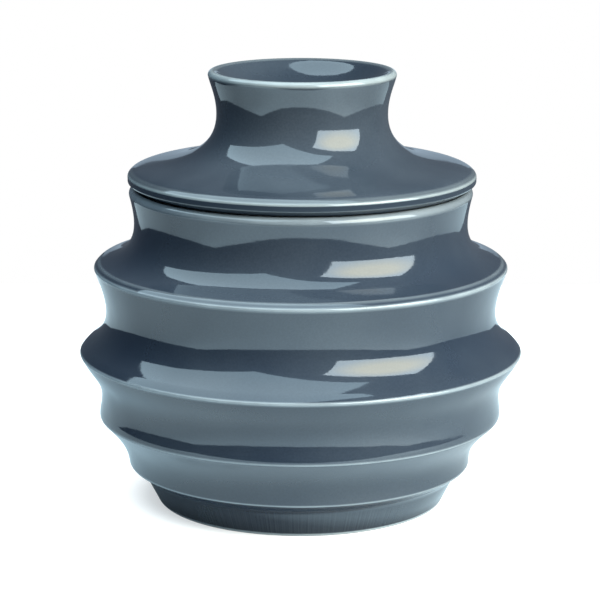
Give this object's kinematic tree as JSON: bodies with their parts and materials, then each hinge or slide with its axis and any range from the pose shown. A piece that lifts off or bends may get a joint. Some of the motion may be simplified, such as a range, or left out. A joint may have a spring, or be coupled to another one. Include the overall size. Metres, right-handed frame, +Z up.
{
  "type": "lidded canister",
  "caption": "Round glazed ceramic storage jar with concave tiers between soft ridges, and a lift-off lid whose flared, dished neck is its knob.",
  "frame": {"origin": "centre of the foot ring, on the surface that the canister stands on", "axes": "+Z up along the axis that both pieces are turned about, +X to the right and -Y towards the viewer of the picture"},
  "size_m": [0.205, 0.205, 0.2006],
  "materials": {
    "jar_glaze": "gloss",
    "lid_glaze": "gloss"
  },
  "bodies": {
    "jar": {"jar_body": "jar_glaze"},
    "lid": {"lid": "lid_glaze"}
  },
  "joints": [
    {"name": "lid_lift", "type": "slide", "parent": "jar", "child": "lid", "axis": [0, 0, 1], "range_m": [0, 0.2]}
  ]
}
